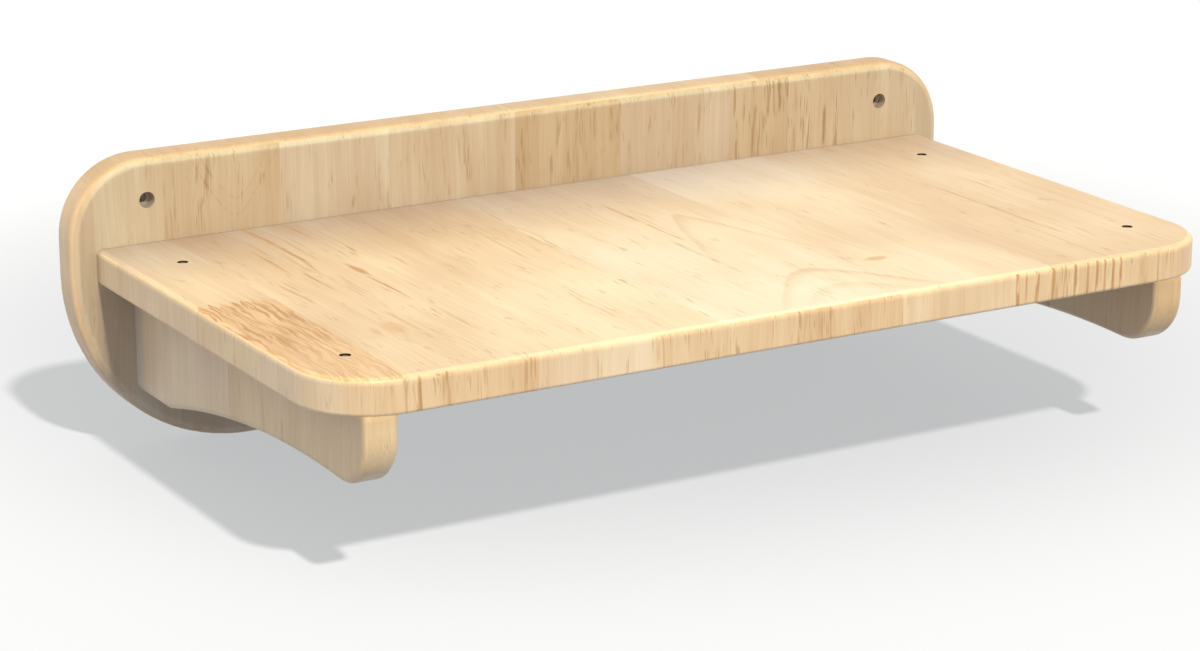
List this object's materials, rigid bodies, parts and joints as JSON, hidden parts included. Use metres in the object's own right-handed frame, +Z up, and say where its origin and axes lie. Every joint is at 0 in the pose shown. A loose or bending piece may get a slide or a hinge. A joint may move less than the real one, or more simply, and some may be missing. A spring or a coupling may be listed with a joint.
{
  "type": "cat wall shelf",
  "caption": "Solid-wood wall shelf for a cat: a flat perch on arched brackets, joined to a back board with counterbored wall-screw holes.",
  "frame": {"origin": "midway between the two wall-screw holes, on the back board's wall side", "axes": "+Z up, +Y into the wall, -Y out towards the shelf's front edge, +X to the right when seen from the front"},
  "size_m": [0.6, 0.32, 0.175],
  "materials": {
    "board_wood": "clear satin lacquer over pale solid wood",
    "dowel_wood": "plain turned wood, glued in",
    "screw_steel": "zinc-plated, satin"
  },
  "bodies": {
    "root": {"back_board": "board_wood", "shelf_board": "board_wood", "left_bracket": "board_wood", "right_bracket": "board_wood", "left_top_screws": "screw_steel", "right_top_screws": "screw_steel", "left_rear_screws": "screw_steel", "right_rear_screws": "screw_steel", "shelf_rear_screws": "screw_steel", "shelf_dowels": "dowel_wood"}
  },
  "joints": []
}
